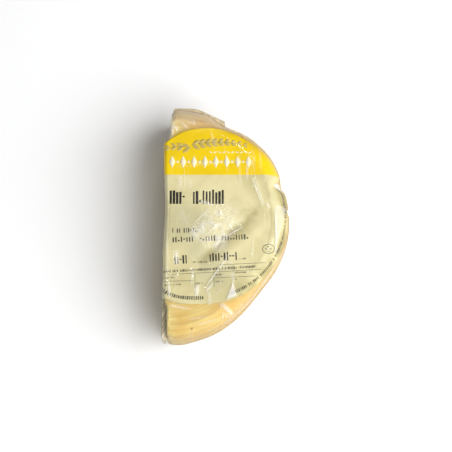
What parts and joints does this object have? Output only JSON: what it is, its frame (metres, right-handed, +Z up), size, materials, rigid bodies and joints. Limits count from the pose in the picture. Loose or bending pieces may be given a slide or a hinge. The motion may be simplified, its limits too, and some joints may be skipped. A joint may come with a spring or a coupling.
{
  "type": "half wheel of goat cheese",
  "caption": "Half wheel of goat cheese with a ribbed rind, sealed in clear film, with a round paper label folded over the cut edge.",
  "frame": {"origin": "on the surface that the cheese lies on, under the middle of its box", "axes": "+X from the cut face to the rind, +Y along the cut, +Z up, out of the labelled top"},
  "size_m": [0.107, 0.2018, 0.073],
  "materials": {
    "cheese": "pale orange-yellow rind with fine concentric ribs, and an ivory cut face with small eyes",
    "film": "clear wrinkled shrink film, glossy",
    "label": "pale cream printed paper, slightly translucent",
    "print": "yellow, beige, white and near-black printing ink"
  },
  "bodies": {
    "root": {"sealed_half_wheel": "cheese", "round_label": "label"}
  },
  "joints": []
}
